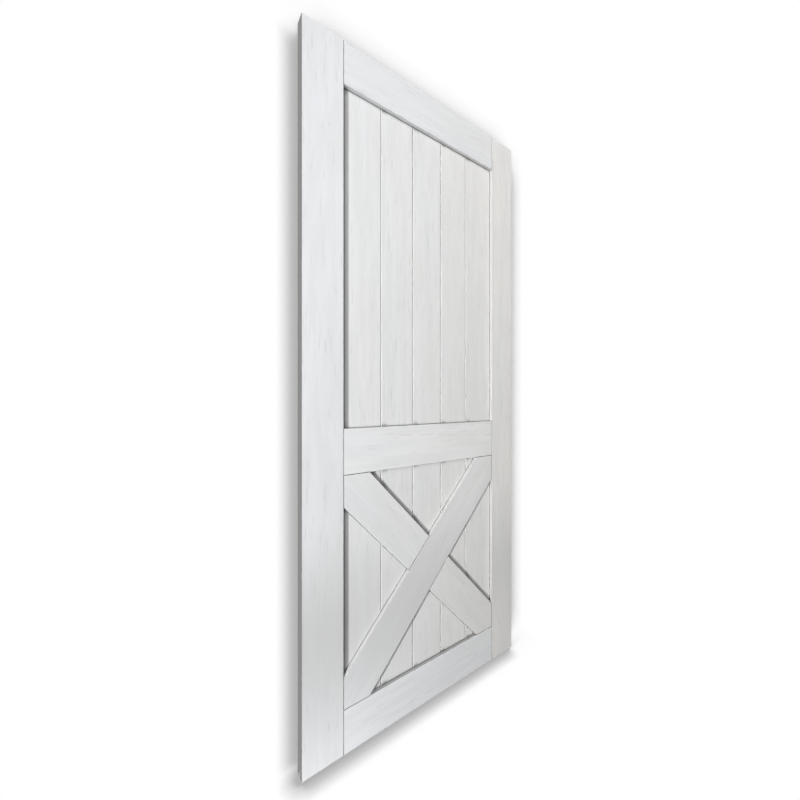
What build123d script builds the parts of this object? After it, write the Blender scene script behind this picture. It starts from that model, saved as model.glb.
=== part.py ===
from build123d import *
import math
import os

# The leaf of a sliding barn door, a tall slab of whitewashed softwood boards.
# Two stiles and three rails make a grooved frame. Tongued and grooved planks fill its two
# openings, and three brace boards make an X over the lower planks, flush with the frame.
# Millimetres. The origin is at the middle of the bottom edge. +X is to the right and +Z is
# up for someone who faces the front, and the front looks along -Y.

# Driving dimensions: the whole leaf
door_width = 914.4
door_height = 2133.6
door_thickness = 35.0

# Frame boards
stile_width = 127.0
top_rail_height = 130.0
mid_rail_height = 139.0
bottom_rail_height = 134.0
mid_rail_underside = 835.0
long_edge_radius = 1.5
cut_end_chamfer = 0.8

# Groove along the inner edges of the frame, and the stub tenons that sit in it
groove_depth = 10.0
plank_side_clearance = 0.4
tenon_side_clearance = 0.1
tenon_end_clearance = 0.5

# Planks
planks_per_field = 5
plank_thickness = 10.0
plank_cover = 128.0
plank_edge_gap = 1.0
plank_head_gap = 2.0
plank_joint_gap = 0.8
v_joint_chamfer = 2.0
tongue_thickness = 3.2
tongue_length = 6.0
tongue_clearance = 0.15
tongue_end_clearance = 0.5

# Brace boards
brace_width = 130.0
brace_joint_gap = 0.5

# Dowels across the joints between rails and stiles
dowels_per_joint = 2
dowel_diameter = 12.7
dowel_flutes = 10
dowel_flute_depth = 0.5
dowel_length = 101.6
dowel_spacing = 60.0
dowel_taper = 1.5
dowel_radial_clearance = 0.1
dowel_end_clearance = 1.5

# Countersunk screws from the back, through the planks into the brace boards
screw_front_cover = 3.5
screw_diameter = 3.5
screw_head_diameter = 7.0
screw_point_length = 3.0
screw_head_sink = 0.2
screw_pilot_clearance = 0.05
screw_shank_clearance = 0.25
screw_row_offset = 32.0
cutter_overrun = 1.0

# Groove in the bottom edge, which a floor guide's fin runs in
guide_groove_width = 8.0
guide_groove_depth = 19.0

# Sizes that follow from those above
opening_width = door_width - 2 * stile_width
half_opening = opening_width / 2
recess = (door_thickness - plank_thickness) / 2
plank_front = -plank_thickness / 2
plank_back = plank_thickness / 2
groove_width = plank_thickness + 2 * plank_side_clearance
tenon_thickness = groove_width - 2 * tenon_side_clearance
tenon_length = groove_depth - tenon_end_clearance
screw_length = plank_thickness + recess - screw_front_cover - screw_head_sink
mid_rail_top = mid_rail_underside + mid_rail_height
top_rail_underside = door_height - top_rail_height
lower_opening_height = mid_rail_underside - bottom_rail_height
lower_opening_middle = (mid_rail_underside + bottom_rail_height) / 2
brace_angle = math.degrees(math.atan2(lower_opening_height, opening_width))
sides = {"left": -1, "right": 1}
middle_plank = (planks_per_field + 1) // 2
screwed_planks = {
    "long": (1, middle_plank, planks_per_field),
    "upper_short": (1, middle_plank - 1),
    "lower_short": (middle_plank + 1, planks_per_field),
}

# Grooves by width and depth
plank_groove = (groove_width, groove_depth)
guide_groove = (guide_groove_width, guide_groove_depth)
no_groove = (0.0, 0.0)

# Rails from the bottom up: height of the lower edge, height of the board, and the grooves
# along its lower and its upper edge
rails = {
    "bottom": (0.0, bottom_rail_height, guide_groove, plank_groove),
    "mid": (mid_rail_underside, mid_rail_height, plank_groove, plank_groove),
    "top": (top_rail_underside, top_rail_height, plank_groove, no_groove),
}


def eased_board(section_plane, across, through, length):
    """A planed board with rounded long edges and lightly chamfered ends, along the plane's normal."""
    board = extrude(section_plane * RectangleRounded(across, through, long_edge_radius), length)
    ends = board.faces().filter_by(section_plane)
    return chamfer(ends.edges(), cut_end_chamfer)


def tenon_span(rail):
    """The lowest and highest points of a rail's tenons, which stop at its grooves."""
    underside, height, (_, depth_below), (_, depth_above) = rails[rail]
    return underside + depth_below, underside + height - depth_above


def dowel_places(rail, side):
    """The middle of each dowel of one joint, which lies in the plane of the joint."""
    low, high = tenon_span(rail)
    span = dowel_spacing * (dowels_per_joint - 1)
    for number in range(dowels_per_joint):
        height = (low + high - span) / 2 + number * dowel_spacing
        yield Vector(sides[side] * half_opening, 0, height)


def fluted_section(centre, crest_radius):
    """A dowel's section across X, with flutes between its crests that let glue and air pass."""
    step = math.pi / dowel_flutes
    corners = []
    for number in range(2 * dowel_flutes):
        radius = crest_radius - dowel_flute_depth * (number % 2)
        corners.append((radius * math.cos(number * step), radius * math.sin(number * step)))
    across = Plane(origin=centre, z_dir=(1, 0, 0))
    return across * make_face(Polyline(*corners, close=True))


def dowel(place):
    """One fluted hardwood dowel along X about its middle, with tapered ends."""
    radius = dowel_diameter / 2
    tip_radius = radius - dowel_taper
    tip = dowel_length / 2
    shoulder = tip - dowel_taper
    stations = [(-tip, tip_radius), (-shoulder, radius), (shoulder, radius), (tip, tip_radius)]
    return loft([fluted_section(place + Vector(x, 0, 0), size) for x, size in stations], ruled=True)


def dowel_hole(place):
    """What the drill takes out for one dowel, in the rail and the stile at once."""
    radius = dowel_diameter / 2 + dowel_radial_clearance
    return Pos(place) * Rot(0, 90, 0) * Cylinder(radius, dowel_length + 2 * dowel_end_clearance)


def groove_along_x(height, groove):
    """What a cutter takes out to both sides of an edge at this height, right across the leaf."""
    width, depth = groove
    return Pos(0, 0, height) * Box(2 * door_width, width, 2 * depth)


def stile(side):
    """An upright of the frame, grooved along its inner edge and drilled for the dowels."""
    sign = sides[side]
    foot = Plane(origin=(sign * (door_width - stile_width) / 2, 0, 0))
    board = eased_board(foot, stile_width, door_thickness, door_height)
    board -= Pos(sign * half_opening, 0, 0) * Box(2 * groove_depth, groove_width, 3 * door_height)
    for rail in rails:
        for place in dowel_places(rail, side):
            board -= dowel_hole(place)
    return board - groove_along_x(0, guide_groove)


def rail_board(rail):
    """A crosspiece of the frame, with a stub tenon at each end and grooves along its edges."""
    underside, height, groove_below, groove_above = rails[rail]
    start = Plane(origin=(-half_opening, 0, underside + height / 2), x_dir=(0, 1, 0), z_dir=(1, 0, 0))
    board = eased_board(start, door_thickness, height, opening_width)
    low, high = tenon_span(rail)
    tenons = Box(opening_width + 2 * tenon_length, tenon_thickness, high - low)
    board += Pos(0, 0, (low + high) / 2) * tenons
    board -= groove_along_x(underside, groove_below)
    if groove_above != no_groove:
        board -= groove_along_x(underside + height, groove_above)
    for side in sides:
        for place in dowel_places(rail, side):
            board -= dowel_hole(place)
    return board


def plank_edges(number):
    """The left and right edge of a plank's cover, counted from the left."""
    gap = plank_joint_gap / 2
    first_joint = -plank_cover * (planks_per_field - 2) / 2
    left = first_joint + (number - 2) * plank_cover + gap
    right = left + plank_cover - 2 * gap
    outer_edge = half_opening + groove_depth - plank_edge_gap
    if number == 1:
        left = -outer_edge
    if number == planks_per_field:
        right = outer_edge
    return left, right


def plank(number, low, high):
    """A tongued and grooved plank with V joints on both faces. The field's outer edges are plain."""
    left, right = plank_edges(number)
    section = Pos((left + right) / 2, 0) * Rectangle(right - left, plank_thickness)
    if number > 1:
        section = chamfer(section.vertices().group_by(Axis.X)[0], v_joint_chamfer)
        depth = tongue_length - plank_joint_gap + tongue_end_clearance
        section -= Pos(left, 0) * Rectangle(2 * depth, tongue_thickness + 2 * tongue_clearance)
    if number < planks_per_field:
        section = chamfer(section.vertices().group_by(Axis.X)[-1], v_joint_chamfer)
        section += Pos(right, 0) * Rectangle(2 * tongue_length, tongue_thickness)
    return extrude(Plane.XY.offset(low) * section, high - low)


def brace_outlines():
    """The long board from corner to corner, and the two short boards that butt against it."""
    gap = brace_joint_gap
    opening = Rectangle(opening_width - 2 * gap, lower_opening_height - 2 * gap)
    reach = 2 * math.hypot(opening_width, lower_opening_height)
    rising = Rot(0, 0, brace_angle)
    falling = Rot(0, 0, -brace_angle)
    long_board = opening & rising * Rectangle(reach, brace_width)
    short_boards = opening & falling * Rectangle(reach, brace_width)
    short_boards -= rising * Rectangle(reach, brace_width + 2 * gap)
    lower, upper = short_boards.faces().sort_by(Axis.Y)
    return {"long": long_board.face(), "upper_short": upper, "lower_short": lower}


def screw_places(brace):
    """A pair of screws in each screwed plank, where a brace board's middle line passes its middle."""
    slope = math.radians(brace_angle if brace == "long" else -brace_angle)
    along = Vector(math.cos(slope), 0, math.sin(slope))
    across = Vector(-math.sin(slope), 0, math.cos(slope)) * screw_row_offset
    crossing = Vector(0, plank_back, lower_opening_middle)
    for number in screwed_planks[brace]:
        left, right = plank_edges(number)
        middle = (max(left, -half_opening) + min(right, half_opening)) / 2
        centre = crossing + along * (middle / along.X)
        yield centre + across
        yield centre - across


def driven_from_back(place, half_section):
    """Turns a half section, given by radius and height above the planks' back, about a screw's axis."""
    axis_plane = Plane(origin=place, x_dir=(1, 0, 0), z_dir=(0, 0, 1))
    return axis_plane * revolve(make_face(Polyline(*half_section, close=True)), Axis.Y)


def screw(place):
    """One countersunk wood screw."""
    head_radius = screw_head_diameter / 2
    radius = screw_diameter / 2
    top = -screw_head_sink
    tip = top - screw_length
    half_section = [
        (0, top),
        (head_radius, top),
        (radius, top - (head_radius - radius)),
        (radius, tip + screw_point_length),
        (0, tip),
    ]
    return driven_from_back(place, half_section)


def screw_hole(place):
    """What the drills take out: a countersink and shank hole in the plank, a pilot hole in the brace."""
    shank_radius = screw_diameter / 2 + screw_shank_clearance
    pilot_radius = screw_diameter / 2 + screw_pilot_clearance
    mouth_radius = screw_head_diameter / 2 + screw_head_sink + screw_pilot_clearance
    bottom = -screw_head_sink - screw_length
    half_section = [
        (0, cutter_overrun),
        (mouth_radius, cutter_overrun),
        (mouth_radius, 0),
        (shank_radius, shank_radius - mouth_radius),
        (shank_radius, -plank_thickness),
        (pilot_radius, -plank_thickness),
        (pilot_radius, bottom),
        (0, bottom),
    ]
    return driven_from_back(place, half_section)


def brace_board(brace, outline):
    """A brace board from the planks' front to the leaf's front, where its edges are rounded."""
    back_plane = Plane.XZ.offset(-plank_front) * Pos(0, lower_opening_middle, 0)
    board = extrude(back_plane * outline, recess)
    board = fillet(board.faces().sort_by(Axis.Y)[0].edges(), long_edge_radius)
    for place in screw_places(brace):
        board -= screw_hole(place)
    return board


nodes = {}

for side in sides:
    nodes[f"stile_{side}"] = stile(side)
for rail in rails:
    nodes[f"{rail}_rail"] = rail_board(rail)
    for side in sides:
        pegs = [dowel(place).solid() for place in dowel_places(rail, side)]
        nodes[f"dowels_{rail}_{side}"] = Compound(pegs)

screw_holes = []
for brace, outline in brace_outlines().items():
    nodes[f"{brace}_brace"] = brace_board(brace, outline)
    screws = [screw(place).solid() for place in screw_places(brace)]
    nodes[f"{brace}_brace_screws"] = Compound(screws)
    screw_holes += [screw_hole(place) for place in screw_places(brace)]

# Each field of planks stands on the bottom of the groove below it, with room above to swell
for number in range(1, planks_per_field + 1):
    low = bottom_rail_height - groove_depth
    high = mid_rail_underside + groove_depth - plank_head_gap
    nodes[f"lower_plank_{number}"] = plank(number, low, high) - screw_holes
    low = mid_rail_top - groove_depth
    high = top_rail_underside + groove_depth - plank_head_gap
    nodes[f"upper_plank_{number}"] = plank(number, low, high)

os.makedirs("parts", exist_ok=True)
for name, shape in nodes.items():
    export_step(shape, f"parts/{name}.step")
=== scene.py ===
import math

import bpy
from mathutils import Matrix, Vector


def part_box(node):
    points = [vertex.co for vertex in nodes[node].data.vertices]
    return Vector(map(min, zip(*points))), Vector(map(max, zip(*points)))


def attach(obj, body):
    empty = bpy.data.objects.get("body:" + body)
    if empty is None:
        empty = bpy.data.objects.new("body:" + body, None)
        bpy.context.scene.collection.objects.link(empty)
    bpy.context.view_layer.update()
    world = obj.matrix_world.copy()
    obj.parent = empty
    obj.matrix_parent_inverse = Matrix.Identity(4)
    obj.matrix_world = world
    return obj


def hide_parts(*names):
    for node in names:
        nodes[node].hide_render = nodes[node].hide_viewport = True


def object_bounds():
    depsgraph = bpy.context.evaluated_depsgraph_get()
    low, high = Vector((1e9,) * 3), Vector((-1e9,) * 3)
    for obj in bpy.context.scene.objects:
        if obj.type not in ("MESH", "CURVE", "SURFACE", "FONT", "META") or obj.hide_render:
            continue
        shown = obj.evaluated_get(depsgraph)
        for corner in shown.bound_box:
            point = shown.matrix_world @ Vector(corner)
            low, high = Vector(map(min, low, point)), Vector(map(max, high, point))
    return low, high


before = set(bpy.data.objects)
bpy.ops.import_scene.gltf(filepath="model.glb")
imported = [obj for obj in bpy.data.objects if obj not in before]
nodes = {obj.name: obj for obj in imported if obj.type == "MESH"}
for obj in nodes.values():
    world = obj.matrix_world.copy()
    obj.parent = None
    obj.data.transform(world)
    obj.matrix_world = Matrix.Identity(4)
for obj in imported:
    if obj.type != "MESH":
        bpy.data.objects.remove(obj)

cad_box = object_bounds()
bpy.ops.object.select_all(action="DESELECT")

# Stiles and rails
# Five planed softwood boards, 35 mm thick, make the frame of the leaf. They are dowelled and glued
# at their joints, eased along their edges, and brushed with a thin white wash along the grain.

standing = math.radians(90)
lying = 0.0
frame_boards = {
    "stile_left": {"grain_angle": standing, "warmth": 0.37, "whiteness": 1.00, "low_shade_amount": 0.66},
    "stile_right": {"grain_angle": standing, "warmth": 0.58, "whiteness": 1.03, "low_shade_amount": 0.45},
    "top_rail": {"grain_angle": lying, "warmth": 0.14, "whiteness": 1.00},
    "mid_rail": {"grain_angle": lying, "warmth": 0.45, "whiteness": 1.05, "ledge_shade": 0.75},
    "bottom_rail": {"grain_angle": lying, "warmth": 0.05, "whiteness": 1.06, "ledge_shade": 0.75},
}
frame_timber_start = (0, 0, 0)
frame_timber_step = (2.3, 0.41, 0.73)

# The washes, from the thickest to the thinnest, and the painted shade for turned faces, the leaf's left
# outer edge, and joints and creases
thick_wash = (0.870, 0.872, 0.870, 1)
cool_wash = Vector((0.795, 0.812, 0.834))
warm_wash = Vector((0.832, 0.818, 0.788))
thin_wash_and_shade = (0.600, 0.602, 0.592, 1)
turned_face_shade = (0.330, 0.328, 0.318, 1)
outer_edge_shade = (0.143, 0.144, 0.142, 1)
joint_shade = (0.070, 0.068, 0.062, 1)

# How long the marks are along a board, and how wide across it
warm_patches = {"length": 0.35, "width": 0.06}
broad_streaks = {"length": 0.22, "width": 0.025, "shift": 3}
dark_streaks = {"length": 0.075, "width": 0.0065, "shift": 7}
light_streaks = {"length": 0.085, "width": 0.0060, "shift": 11}
fine_grain = {"length": 0.045, "width": 0.0009, "shift": 17, "detail": 3.0}
brush_marks = {"length": 0.12, "width": 0.0016, "shift": 23}

# The marks laid over the wash: where each begins and is full in its noise, and how much it covers
middle_of_noise = (0.35, 0.65)
most_of_noise = (0.3, 0.7)
wash_layers = (
    (broad_streaks, middle_of_noise, 0.16, thin_wash_and_shade),
    (dark_streaks, (0.59, 0.73), 0.38, thin_wash_and_shade),
    (light_streaks, (0.57, 0.72), 0.42, thick_wash),
    (fine_grain, (0.52, 0.72), 0.07, thin_wash_and_shade),
)
warmth_swing = 0.10
# Painted tint of the light: the wash grows warmer towards the right of the leaf.
painted_warmth_to_right = 0.7
wash_roughness = (0.52, 0.70)
wash_specular = 0.35
brush_relief = 0.0003
brush_relief_strength = 0.18
brush_in_relief = 0.5

# Painted shade is darkest at this height on the leaf, and gone this far above and below it
shade_height = 0.38
shade_reach = 0.34

# How far a face turns to its side, upwards or to the front, where its painted shade begins and is full
turned_aside = (0.35, 0.72)
turned_up = (0.90, 0.99)
turned_to_front = (-0.95, -0.60)
side_face_shade = 0.45
edge_shade_amount = 0.95
outer_edge_depth = 0.0014
outer_edge_arris = 0.0003
outer_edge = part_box("stile_left")[0].x + outer_edge_arris

# How open a place is, from 0 to 1, where the painted shade in joints and creases and the painted shadow
# beside raised boards are full and where they end
joint_reach = 0.003
joint_on_frame = (0.84, 0.99)
joint_in_field = (0.55, 0.93)
outer_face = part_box("stile_right")[1].y
joint_mouth = (outer_face - 0.004, outer_face - 0.002)
deep_joint_shade = 0.45
toward_side_lamp = (-0.75, -0.65, 0.0)
step_reach = 0.022
behind_step = (0.42, 0.75)
step_shadow_strength = 0.85


def add_node(tree, kind, settings=None, inputs=None):
    """One node of a finish, with its settings, and its inputs as values or as links."""
    made = tree.nodes.new(kind)
    for name, value in (settings or {}).items():
        setattr(made, name, value)
    for name, value in (inputs or {}).items():
        if isinstance(value, bpy.types.NodeSocket):
            tree.links.new(value, made.inputs[name])
        else:
            made.inputs[name].default_value = value
    return made


def reckoned(tree, operation, *values):
    """The result of one step of arithmetic on values or links."""
    return add_node(tree, "ShaderNodeMath", {"operation": operation}, dict(enumerate(values))).outputs[0]


def mixed(tree, amount, first, second):
    """Two colours laid over each other by an amount from 0 to 1."""
    made = tree.nodes.new("ShaderNodeMix")
    made.data_type = "RGBA"
    for number, value in ((0, amount), (6, first), (7, second)):
        if isinstance(value, bpy.types.NodeSocket):
            tree.links.new(value, made.inputs[number])
        else:
            made.inputs[number].default_value = value
    return made.outputs[2]


def ranged(tree, value, given, wanted):
    """A value taken from its given range to the wanted one, with soft ends."""
    ends = {"From Min": given[0], "From Max": given[1], "To Min": wanted[0], "To Max": wanted[1]}
    soft = {"interpolation_type": "SMOOTHSTEP"}
    return add_node(tree, "ShaderNodeMapRange", soft, {"Value": value, **ends}).outputs[0]


def streaks(tree, along_board, length, width, detail=2.0, shift=0.0):
    """Soft streaks of about this length along a board and this width across it, as 0 to 1."""
    stretch = {
        "Vector": along_board,
        "Location": (shift, shift, shift),
        "Scale": (1 / length, 1 / width, 1 / width),
    }
    vector = add_node(tree, "ShaderNodeMapping", inputs=stretch).outputs[0]
    noise = add_node(tree, "ShaderNodeTexNoise", inputs={"Vector": vector, "Scale": 1.0, "Detail": detail})
    return noise.outputs[0]


def openness(tree, reach, samples, facing=None):
    """How open a place is to what stands within reach, from 0 to 1, on the side that it faces."""
    inputs = {"Distance": reach}
    if facing:
        tilt = add_node(tree, "ShaderNodeCombineXYZ", inputs=dict(zip("XYZ", facing)))
        inputs["Normal"] = tilt.outputs[0]
    return add_node(tree, "ShaderNodeAmbientOcclusion", {"samples": samples}, inputs).outputs["AO"]


def empty_finish(name):
    """A new finish, and its tree with no nodes in it yet."""
    finish = bpy.data.materials.new(name)
    finish.use_nodes = True
    finish.node_tree.nodes.clear()
    return finish, finish.node_tree


def set_surface(tree, shader):
    """Makes a shader the surface of its finish."""
    output = tree.nodes.new("ShaderNodeOutputMaterial")
    tree.links.new(shader.outputs[0], output.inputs[0])


def brushed_on(tree, board, spot, warmth, whiteness):
    """The wash as it is brushed on: cool or warm in patches, thin or thick in streaks, and warmer to the
    right as a painted tint of the light.
    """
    cool = (whiteness * cool_wash).to_4d()
    warm = (whiteness * warm_wash).to_4d()
    swing = (warmth - warmth_swing, warmth + warmth_swing)
    patches = ranged(tree, streaks(tree, board, **warm_patches), middle_of_noise, swing)
    warmth_here = reckoned(tree, "MULTIPLY_ADD", spot.outputs["X"], painted_warmth_to_right, patches)
    colour = mixed(tree, warmth_here, cool, warm)
    for marks, noise_range, most, wash in wash_layers:
        amount = ranged(tree, streaks(tree, board, **marks), noise_range, (0, most))
        colour = mixed(tree, amount, colour, wash)
    return colour


def paint_face_shade(tree, colour, spot, facing, low_shade_amount, ledge_shade, in_field):
    """Paints shade low on the leaf, on side faces and ledges, and on the leaf's left outer edge."""
    # Painted shade low on the leaf, in the thin wash's colour, darkest at one height and fading above and
    # below it.
    above_darkest = reckoned(tree, "SUBTRACT", spot.outputs["Z"], shade_height)
    from_darkest = reckoned(tree, "ABSOLUTE", above_darkest)
    low_down = ranged(tree, from_darkest, (0, shade_reach), (low_shade_amount, 0))
    colour = mixed(tree, low_down, colour, thin_wash_and_shade)
    # Painted shade on side faces, and on ledges that face upwards.
    if not in_field:
        sideways = reckoned(tree, "ABSOLUTE", facing.outputs["X"])
        on_side = ranged(tree, sideways, turned_aside, (0, side_face_shade))
        colour = mixed(tree, on_side, colour, turned_face_shade)
    on_top = ranged(tree, facing.outputs["Z"], turned_up, (0, ledge_shade))
    colour = mixed(tree, on_top, colour, turned_face_shade)
    # Painted shade on the leaf's left outer edge, which the side lamp would otherwise light.
    edge_range = (outer_edge, outer_edge + outer_edge_depth)
    on_outer_edge = ranged(tree, spot.outputs["X"], edge_range, (edge_shade_amount, 0))
    return mixed(tree, on_outer_edge, colour, outer_edge_shade)


def paint_crease_shade(tree, colour, spot, facing, in_field):
    """Paints shade in narrow joints and creases, and a shadow on planks beside a raised board, on its side
    away from the side lamp.
    """
    # Painted shade in joints and creases, and on planks a painted shadow beside a raised board.
    in_joint = openness(tree, joint_reach, samples=8)
    if in_field:
        in_shade = ranged(tree, in_joint, joint_in_field, (1, 0))
        at_front = ranged(tree, facing.outputs["Y"], turned_to_front, (step_shadow_strength, 0))
        to_side_lamp = openness(tree, step_reach, samples=8, facing=toward_side_lamp)
        shadow_beside_board = ranged(tree, to_side_lamp, behind_step, (at_front, 0))
        colour = mixed(tree, shadow_beside_board, colour, joint_shade)
    else:
        depth = reckoned(tree, "ABSOLUTE", spot.outputs["Y"])
        at_mouth = ranged(tree, depth, joint_mouth, (deep_joint_shade, 1))
        in_shade = ranged(tree, in_joint, joint_on_frame, (at_mouth, 0))
    return mixed(tree, in_shade, colour, joint_shade)


def whitewashed_softwood(
    name, grain_angle, offcut, warmth, whiteness, low_shade_amount=0.0, ledge_shade=0.0, in_field=False
):
    """Softwood under a thin white wash. Each board shows another stretch of the timber."""
    finish, tree = empty_finish(name)
    place = add_node(tree, "ShaderNodeTexCoord").outputs["Object"]
    turned = {"Vector": place, "Rotation": (0, grain_angle, 0), "Location": offcut}
    board = add_node(tree, "ShaderNodeMapping", inputs=turned).outputs[0]
    spot = add_node(tree, "ShaderNodeSeparateXYZ", inputs={"Vector": place})
    side = tree.nodes.new("ShaderNodeNewGeometry")
    facing = add_node(tree, "ShaderNodeSeparateXYZ", inputs={"Vector": side.outputs["True Normal"]})

    colour = brushed_on(tree, board, spot, warmth, whiteness)
    colour = paint_face_shade(tree, colour, spot, facing, low_shade_amount, ledge_shade, in_field)
    colour = paint_crease_shade(tree, colour, spot, facing, in_field)

    brush = streaks(tree, board, **brush_marks)
    height = mixed(tree, brush_in_relief, streaks(tree, board, **fine_grain), brush)
    relief = {"Height": height, "Strength": brush_relief_strength, "Distance": brush_relief}
    bump = add_node(tree, "ShaderNodeBump", inputs=relief)
    look = {
        "Base Color": colour,
        "Roughness": ranged(tree, brush, most_of_noise, wash_roughness),
        "Specular IOR Level": wash_specular,
        "Normal": bump.outputs[0],
    }
    set_surface(tree, add_node(tree, "ShaderNodeBsdfPrincipled", inputs=look))
    return finish


def finish_board(node, finish):
    """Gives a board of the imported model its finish, in every slot that it has."""
    slots = nodes[node].material_slots
    if not slots:
        nodes[node].data.materials.append(finish)
    for slot in slots:
        slot.material = finish


def offcut_of(number, start, step):
    """Where in the timber a board was cut, one step further on for each board."""
    return [begin + number * further for begin, further in zip(start, step)]


for number, (node, timber) in enumerate(frame_boards.items()):
    offcut = offcut_of(number, frame_timber_start, frame_timber_step)
    finish_board(node, whitewashed_softwood(f"whitewash_{node}", offcut=offcut, **timber))

# Planks
# Ten tongued and grooved softwood planks, 10 mm thick, stand loose in the grooves of the frame.
# They come from other timber than the frame, so their streaks are their own.

plank_whiteness = 1.0
plank_warmth = (0.56, 0.49, 0.48, 0.55, 0.52)
plank_shading = (0.45, 0.30, 0, 0, 0)
plank_timber_starts = {"upper": (0, 0, 0), "lower": (13, 0, 5)}
plank_timber_step = (1.9, 0.57, 0.39)
for field, timber_start in plank_timber_starts.items():
    for number, (warmth, shading) in enumerate(zip(plank_warmth, plank_shading), start=1):
        node = f"{field}_plank_{number}"
        finish = whitewashed_softwood(
            f"whitewash_{node}",
            grain_angle=standing,
            offcut=offcut_of(number, timber_start, plank_timber_step),
            warmth=warmth,
            whiteness=plank_whiteness,
            low_shade_amount=shading,
            in_field=True,
        )
        finish_board(node, finish)

# Brace boards
# Three softwood boards make the X. One runs from corner to corner, and two butt against it. They
# are screwed to the planks from behind, and lie flush with the frame. Their grain runs along them.

brace_low, brace_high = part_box("long_brace")
rising = math.atan2(brace_high.z - brace_low.z, brace_high.x - brace_low.x)
braces = {
    "long_brace": {"grain_angle": rising, "warmth": 0.38, "whiteness": 1.01, "low_shade_amount": 0.60},
    "upper_short_brace": {"grain_angle": -rising, "warmth": 0.45, "whiteness": 1.01},
    "lower_short_brace": {"grain_angle": -rising, "warmth": 0.60, "whiteness": 0.98},
}
brace_timber_start = (7, 0, 2)
brace_timber_step = (3.1, 0.83, 0.29)
for number, (node, timber) in enumerate(braces.items()):
    offcut = offcut_of(number, brace_timber_start, brace_timber_step)
    finish_board(node, whitewashed_softwood(f"whitewash_{node}", offcut=offcut, **timber))

# Dowels
# Twelve beech dowels, glued across the joints between the rails and the stiles. They are turned,
# fluted to let the glue out, and left bare, because nobody sees them once the frame is cramped up.

dark_beech = (0.56, 0.37, 0.22, 1)
pale_beech = (0.66, 0.46, 0.29, 1)
beech_fleck = (0.33, 0.19, 0.10, 1)
beech_bands = {"length": 0.06, "width": 0.004}
beech_flecks = {"length": 0.004, "width": 0.0004, "shift": 5}
fleck_range = (0.58, 0.68)
fleck_strength = 0.7
fleck_relief = 0.0001
fleck_relief_strength = 0.3
beech_roughness = (0.55, 0.75)


def bare_beech(name):
    """Pale pink-brown beech with short dark flecks along the dowel."""
    finish, tree = empty_finish(name)
    place = add_node(tree, "ShaderNodeTexCoord").outputs["Object"]
    tone = ranged(tree, streaks(tree, place, **beech_bands), middle_of_noise, (0, 1))
    colour = mixed(tree, tone, dark_beech, pale_beech)
    fleck = streaks(tree, place, **beech_flecks)
    flecked = ranged(tree, fleck, fleck_range, (0, fleck_strength))
    colour = mixed(tree, flecked, colour, beech_fleck)
    relief = {"Height": fleck, "Strength": fleck_relief_strength, "Distance": fleck_relief}
    bump = add_node(tree, "ShaderNodeBump", inputs=relief)
    look = {
        "Base Color": colour,
        "Roughness": ranged(tree, fleck, most_of_noise, beech_roughness),
        "Normal": bump.outputs[0],
    }
    set_surface(tree, add_node(tree, "ShaderNodeBsdfPrincipled", inputs=look))
    return finish


beech = bare_beech("bare_beech")
for rail in ("bottom", "mid", "top"):
    for side in ("left", "right"):
        finish_board(f"dowels_{rail}_{side}", beech)

# Screws
# Fourteen zinc-plated countersunk wood screws hold the brace boards, driven from the back through
# the planks. Each has a cross recess in its head and a thread along its lower shank.

head_radius = 0.0035
head_rim = 0.0003
core_radius = 0.0012
plain_shank = 0.006
point_length = 0.003
point_shoulder = 0.8
shoulder_width = 0.35
tip_width = 0.01
round_sides = 32
thread_radius = 0.00175
thread_pitch = 0.0013
thread_end = 0.0004
thread_steps = 16
thread_at_tip = 0.1
recess_reach = 0.0021
recess_width = 0.0008
recess_depth = 0.0017
recess_end_narrowing = 0.5
recess_side_narrowing = 0.8
same_height = 1e-6
same_corner = 1e-7
on_head_flat = 1e-5
within_one_head = 2.2 * head_radius
smooth_below = math.radians(40)
turn_between_screws = math.radians(37)
brace_screws = ("long_brace_screws", "upper_short_brace_screws", "lower_short_brace_screws")
screw_low, screw_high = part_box("long_brace_screws")
screw_length = screw_high.y - screw_low.y


def select_height(piece, height):
    """In edit mode, selects only the corners at this height along the screw."""
    bpy.ops.mesh.select_all(action="DESELECT")
    bpy.ops.object.mode_set(mode="OBJECT")
    for corner in piece.data.vertices:
        corner.select = abs(corner.co.y - height) < same_height
    bpy.ops.object.mode_set(mode="EDIT")


def use_modifier(piece, kind, **settings):
    """Adds a modifier to a piece and applies it."""
    bpy.context.view_layer.objects.active = piece
    modifier = piece.modifiers.new(kind.lower(), kind)
    for name, value in settings.items():
        setattr(modifier, name, value)
    bpy.ops.object.modifier_apply(modifier=modifier.name)


def face_outwards():
    """In edit mode, turns every face of the mesh to the outside."""
    bpy.ops.mesh.select_all(action="SELECT")
    bpy.ops.mesh.normals_make_consistent(inside=False)


def screw_blank():
    """The head and the shank, extruded down from the flat of the head, which lies at zero."""
    bpy.ops.mesh.primitive_circle_add(
        vertices=round_sides, radius=head_radius, fill_type="NGON", rotation=(math.radians(-90), 0, 0)
    )
    blank = bpy.context.object
    bpy.ops.object.transform_apply(rotation=True)
    bpy.ops.object.mode_set(mode="EDIT")
    cone_length = head_radius - core_radius
    steps = (
        (head_rim, 1.0),
        (cone_length, core_radius / head_radius),
        (screw_length - head_rim - cone_length - point_length, 1.0),
        (point_length * point_shoulder, shoulder_width),
        (point_length * (1 - point_shoulder), tip_width),
    )
    for depth, scale in steps:
        bpy.ops.mesh.extrude_region_move(TRANSFORM_OT_translate={"value": (0, -depth, 0)})
        bpy.ops.transform.resize(value=(scale, 1, scale))
    bpy.ops.mesh.merge(type="CENTER")
    face_outwards()
    bpy.ops.object.mode_set(mode="OBJECT")
    return blank


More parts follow.
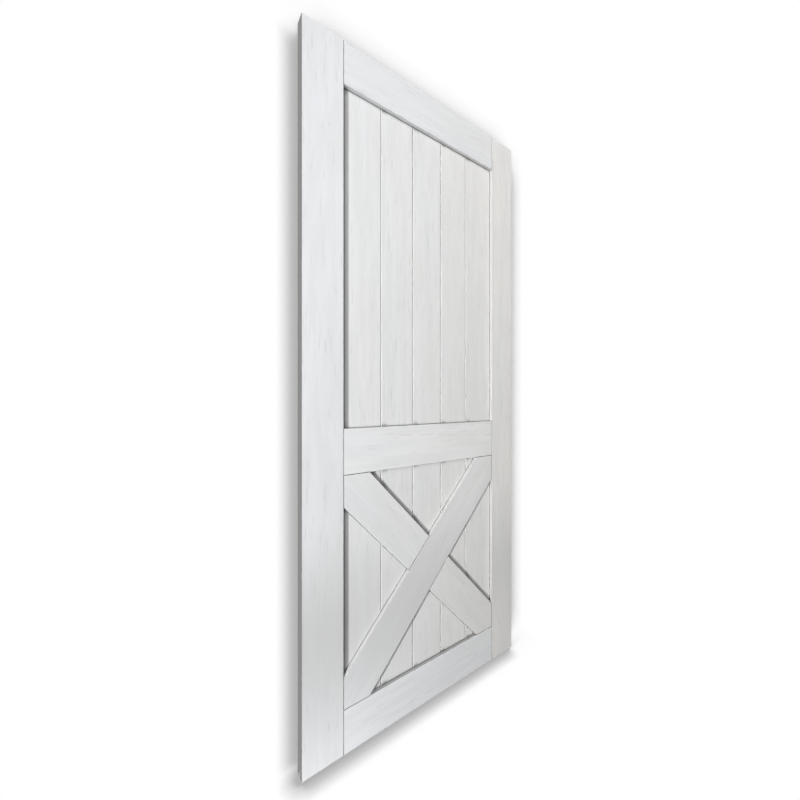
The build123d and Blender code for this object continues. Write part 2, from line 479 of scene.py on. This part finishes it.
def recess_cutter():
    """A cross that narrows towards its tip, as the punch that forms the recess."""
    bars = (
        (recess_reach, recess_width / 2, (recess_end_narrowing, 1, recess_side_narrowing)),
        (recess_width / 2, recess_reach, (recess_side_narrowing, 1, recess_end_narrowing)),
    )
    arms = []
    for half_x, half_z, narrowing in bars:
        bpy.ops.mesh.primitive_cube_add(size=2)
        arm = bpy.context.object
        arm.scale = (half_x, recess_depth, half_z)
        bpy.ops.object.transform_apply(scale=True)
        bpy.ops.object.mode_set(mode="EDIT")
        select_height(arm, -recess_depth)
        bpy.ops.transform.resize(value=narrowing)
        bpy.ops.object.mode_set(mode="OBJECT")
        arms.append(arm)
    use_modifier(arms[0], "BOOLEAN", operation="UNION", object=arms[1], solver="EXACT")
    bpy.data.objects.remove(arms[1])
    return arms[0]


def screw_thread():
    """A ridge that winds round the shank and dies away at the point."""
    start = (core_radius, -screw_length + thread_end, 0)
    turns = int((screw_length - thread_end - plain_shank) / thread_pitch)
    bpy.ops.mesh.primitive_circle_add(vertices=3, radius=thread_radius - core_radius, location=start)
    thread = bpy.context.object
    bpy.ops.object.transform_apply(location=True)
    bpy.ops.object.mode_set(mode="EDIT")
    bpy.ops.transform.rotate(value=math.radians(90), orient_axis="Z", center_override=start)
    bpy.ops.object.mode_set(mode="OBJECT")
    use_modifier(
        thread,
        "SCREW",
        axis="Y",
        screw_offset=thread_pitch,
        iterations=turns,
        steps=thread_steps,
        render_steps=thread_steps,
    )
    bpy.ops.object.mode_set(mode="EDIT")
    bpy.ops.mesh.select_all(action="SELECT")
    bpy.ops.mesh.remove_doubles(threshold=same_corner)
    bpy.ops.mesh.fill_holes(sides=3)
    face_outwards()
    bpy.ops.object.mode_set(mode="OBJECT")
    for corner in thread.data.vertices:
        above_tip = corner.co.y + screw_length
        taper = min(1.0, max(thread_at_tip, above_tip / point_length))
        corner.co.x *= taper
        corner.co.z *= taper
    return thread


def whole_screw():
    """One finished screw along Y, its head's flat at zero."""
    body = screw_blank()
    cutter = recess_cutter()
    use_modifier(body, "BOOLEAN", operation="DIFFERENCE", object=cutter, solver="EXACT")
    bpy.data.objects.remove(cutter)
    thread = screw_thread()
    bpy.ops.object.select_all(action="DESELECT")
    thread.select_set(True)
    body.select_set(True)
    bpy.context.view_layer.objects.active = body
    bpy.ops.object.join()
    bpy.ops.object.shade_smooth_by_angle(angle=smooth_below)
    return body


def head_centres(node):
    """The middle of each screw head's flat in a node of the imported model."""
    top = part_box(node)[1].y
    rim = [corner.co.copy() for corner in nodes[node].data.vertices if top - corner.co.y < on_head_flat]
    centres = []
    while rim:
        head = [place for place in rim if (place - rim[0]).length < within_one_head]
        rim = [place for place in rim if (place - rim[0]).length >= within_one_head]
        xs = [place.x for place in head]
        zs = [place.z for place in head]
        centres.append(Vector(((min(xs) + max(xs)) / 2, top, (min(zs) + max(zs)) / 2)))
    return centres


dull_zinc = (0.62, 0.63, 0.64, 1)
bright_zinc = (0.74, 0.75, 0.77, 1)
zinc_clouds = 900.0
zinc_relief = 0.00005
zinc_relief_strength = 0.2
zinc_roughness = (0.28, 0.45)


def zinc_plate(name):
    """Zinc plated on steel, bright, with the fine cloudy unevenness of plating in a barrel."""
    finish, tree = empty_finish(name)
    place = add_node(tree, "ShaderNodeTexCoord").outputs["Object"]
    cloudy = {"Vector": place, "Scale": zinc_clouds, "Detail": 3.0}
    cloud = add_node(tree, "ShaderNodeTexNoise", inputs=cloudy).outputs[0]
    relief = {"Height": cloud, "Strength": zinc_relief_strength, "Distance": zinc_relief}
    bump = add_node(tree, "ShaderNodeBump", inputs=relief)
    tone = ranged(tree, cloud, middle_of_noise, (0, 1))
    look = {
        "Base Color": mixed(tree, tone, dull_zinc, bright_zinc),
        "Roughness": ranged(tree, cloud, most_of_noise, zinc_roughness),
        "Normal": bump.outputs[0],
        "Metallic": 1.0,
    }
    set_surface(tree, add_node(tree, "ShaderNodeBsdfPrincipled", inputs=look))
    return finish


pattern_screw = whole_screw()
pattern_screw.data.materials.clear()
pattern_screw.data.materials.append(zinc_plate("zinc_plate"))
for node in brace_screws:
    bpy.ops.object.select_all(action="DESELECT")
    driven = []
    for number, centre in enumerate(head_centres(node)):
        screw = pattern_screw.copy()
        screw.data = pattern_screw.data.copy()
        bpy.context.scene.collection.objects.link(screw)
        screw.location = centre
        screw.rotation_euler = (0, number * turn_between_screws, 0)
        screw.select_set(True)
        driven.append(screw)
    bpy.context.view_layer.objects.active = driven[0]
    bpy.ops.object.join()
    bpy.ops.object.transform_apply(location=True, rotation=True)
    driven[0].name = node.replace("brace_screws", "brace_wood_screws")
    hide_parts(node)
    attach(driven[0], "root")
bpy.data.objects.remove(pattern_screw)

# Stage
# A white floor just under the leaf and a white wall close behind it, seen from their front only.
# To the camera they are white but for soft shadows round the leaf, and they take no part in the light.

floor_drop = 0.012
wall_gap = 0.025
stage_size = 60.0
stage_grey = (0.8, 0.8, 0.8, 1)
shadows = (
    {"facing": (0.5, 0.2, 0.8), "reach": 0.06, "least_open": 0.55, "full_open": 0.95, "darkest": 0.45},
    {"facing": (0.3, -0.6, 0.8), "reach": 0.06, "least_open": 0.70, "full_open": 1.00, "darkest": 0.45},
    {"facing": (-0.7, -0.8, -0.2), "reach": 0.16, "least_open": 0.80, "full_open": 0.95, "darkest": 0.50},
)


def soft_shadow(tree, facing, reach, least_open, full_open, darkest):
    """From the darkest tone up to 1, by how open the place is to something that stands close."""
    ends = {"From Min": least_open, "From Max": full_open, "To Min": darkest, "To Max": 1.0}
    open_here = openness(tree, reach, samples=16, facing=facing)
    return add_node(tree, "ShaderNodeMapRange", inputs={"Value": open_here, **ends}).outputs[0]


def blended(tree, amount, first, second):
    """Two shaders in one, the first at 0 and the second at 1."""
    made = add_node(tree, "ShaderNodeMixShader", inputs={0: amount})
    tree.links.new(first.outputs[0], made.inputs[1])
    tree.links.new(second.outputs[0], made.inputs[2])
    return made


def white_surface(name):
    """White to the camera but for the darkest of its soft shadows, and unseen from behind."""
    finish, tree = empty_finish(name)
    tone = 1.0
    for shadow in shadows:
        tone = reckoned(tree, "MINIMUM", soft_shadow(tree, **shadow), tone)
    seen = add_node(tree, "ShaderNodeEmission", inputs={"Strength": tone})
    lit = add_node(tree, "ShaderNodeBsdfDiffuse", inputs={"Color": stage_grey})
    behind = tree.nodes.new("ShaderNodeBsdfTransparent")
    rays = tree.nodes.new("ShaderNodeLightPath")
    side = tree.nodes.new("ShaderNodeNewGeometry")
    front = blended(tree, rays.outputs["Is Camera Ray"], lit, seen)
    set_surface(tree, blended(tree, side.outputs["Backfacing"], front, behind))
    return finish


stage_white = white_surface("stage_white")
leaf_low, leaf_high = Vector(cad_box[0]), Vector(cad_box[1])
floor_place = (0, 0, leaf_low.z - floor_drop)
wall_place = (0, leaf_high.y + wall_gap, leaf_low.z - floor_drop + stage_size / 2)
stage_planes = (("stage_floor", floor_place, 0), ("stage_wall", wall_place, math.radians(90)))
for name, place, turn in stage_planes:
    bpy.ops.mesh.primitive_plane_add(size=stage_size, location=place, rotation=(turn, 0, 0))
    surface = bpy.context.object
    surface.name = name
    surface.data.materials.append(stage_white)
    surface.visible_diffuse = False
    surface.visible_glossy = False
    surface.visible_transmission = False
    surface.visible_shadow = False

# Light
# Plain studio light. A far lamp on the left grazes the front, so that raised boards throw a shadow
# to their right. Weak lamps in front and above, a small one under the left corner and the world
# fill the rest, and one behind lights the back.

white = (1, 1, 1, 1)
fill_strength = 0.10
lamps = {
    "side_lamp": {"place": (-4.2, -2.1, 1.2), "target": (0, 0, 1.0), "size": 0.40, "power": 226},
    "front_lamp": {"place": (-0.4, -2.6, 1.2), "target": (0, 0, 1.1), "size": 1.0, "power": 12},
    "high_lamp": {"place": (0.4, -1.6, 2.8), "target": (0, 0, 1.1), "size": 1.0, "power": 12},
    "foot_lamp": {"place": (-0.45, -0.25, -0.15), "target": (-0.35, 0, 0), "size": 0.10, "power": 0.23},
    "back_lamp": {"place": (2.2, 2.6, 1.9), "target": (0, 0, 1.0), "size": 1.5, "power": 125},
}

world = bpy.data.worlds.new("studio")
bpy.context.scene.world = world
world.use_nodes = True
sky = world.node_tree
sky.nodes.clear()
even_light = add_node(sky, "ShaderNodeBackground", inputs={"Color": white, "Strength": fill_strength})
white_behind = add_node(sky, "ShaderNodeBackground", inputs={"Color": white, "Strength": 1.0})
rays = sky.nodes.new("ShaderNodeLightPath")
seen = rays.outputs["Is Camera Ray"]
for kind in ("Is Glossy Ray", "Is Transmission Ray"):
    seen = reckoned(sky, "MAXIMUM", seen, rays.outputs[kind])
sky_output = sky.nodes.new("ShaderNodeOutputWorld")
sky.links.new(blended(sky, seen, even_light, white_behind).outputs[0], sky_output.inputs[0])


def soft_lamp(name, place, target, size, power):
    """A square soft box at a place, turned to a target."""
    bpy.ops.object.light_add(type="AREA", location=place)
    lamp = bpy.context.object
    lamp.name = name
    lamp.data.size = size
    lamp.data.energy = power
    lamp.visible_camera = False
    lamp.rotation_euler = (Vector(target) - Vector(place)).to_track_quat("-Z", "Y").to_euler()


for name, lamp in lamps.items():
    soft_lamp(name, **lamp)

# Camera
# A short lens close to the leaf. It stands a little to the left of it, level, at half its height,
# and is turned to the right.

camera_place = (-0.7672, -0.9433, 1.060)
camera_turn = math.radians(-34.7)
camera_lens = 15.25
bpy.ops.object.camera_add(location=camera_place, rotation=(math.radians(90), 0, camera_turn))
camera = bpy.context.object
camera.data.lens = camera_lens
bpy.context.scene.camera = camera
bpy.context.scene.view_settings.view_transform = "Standard"
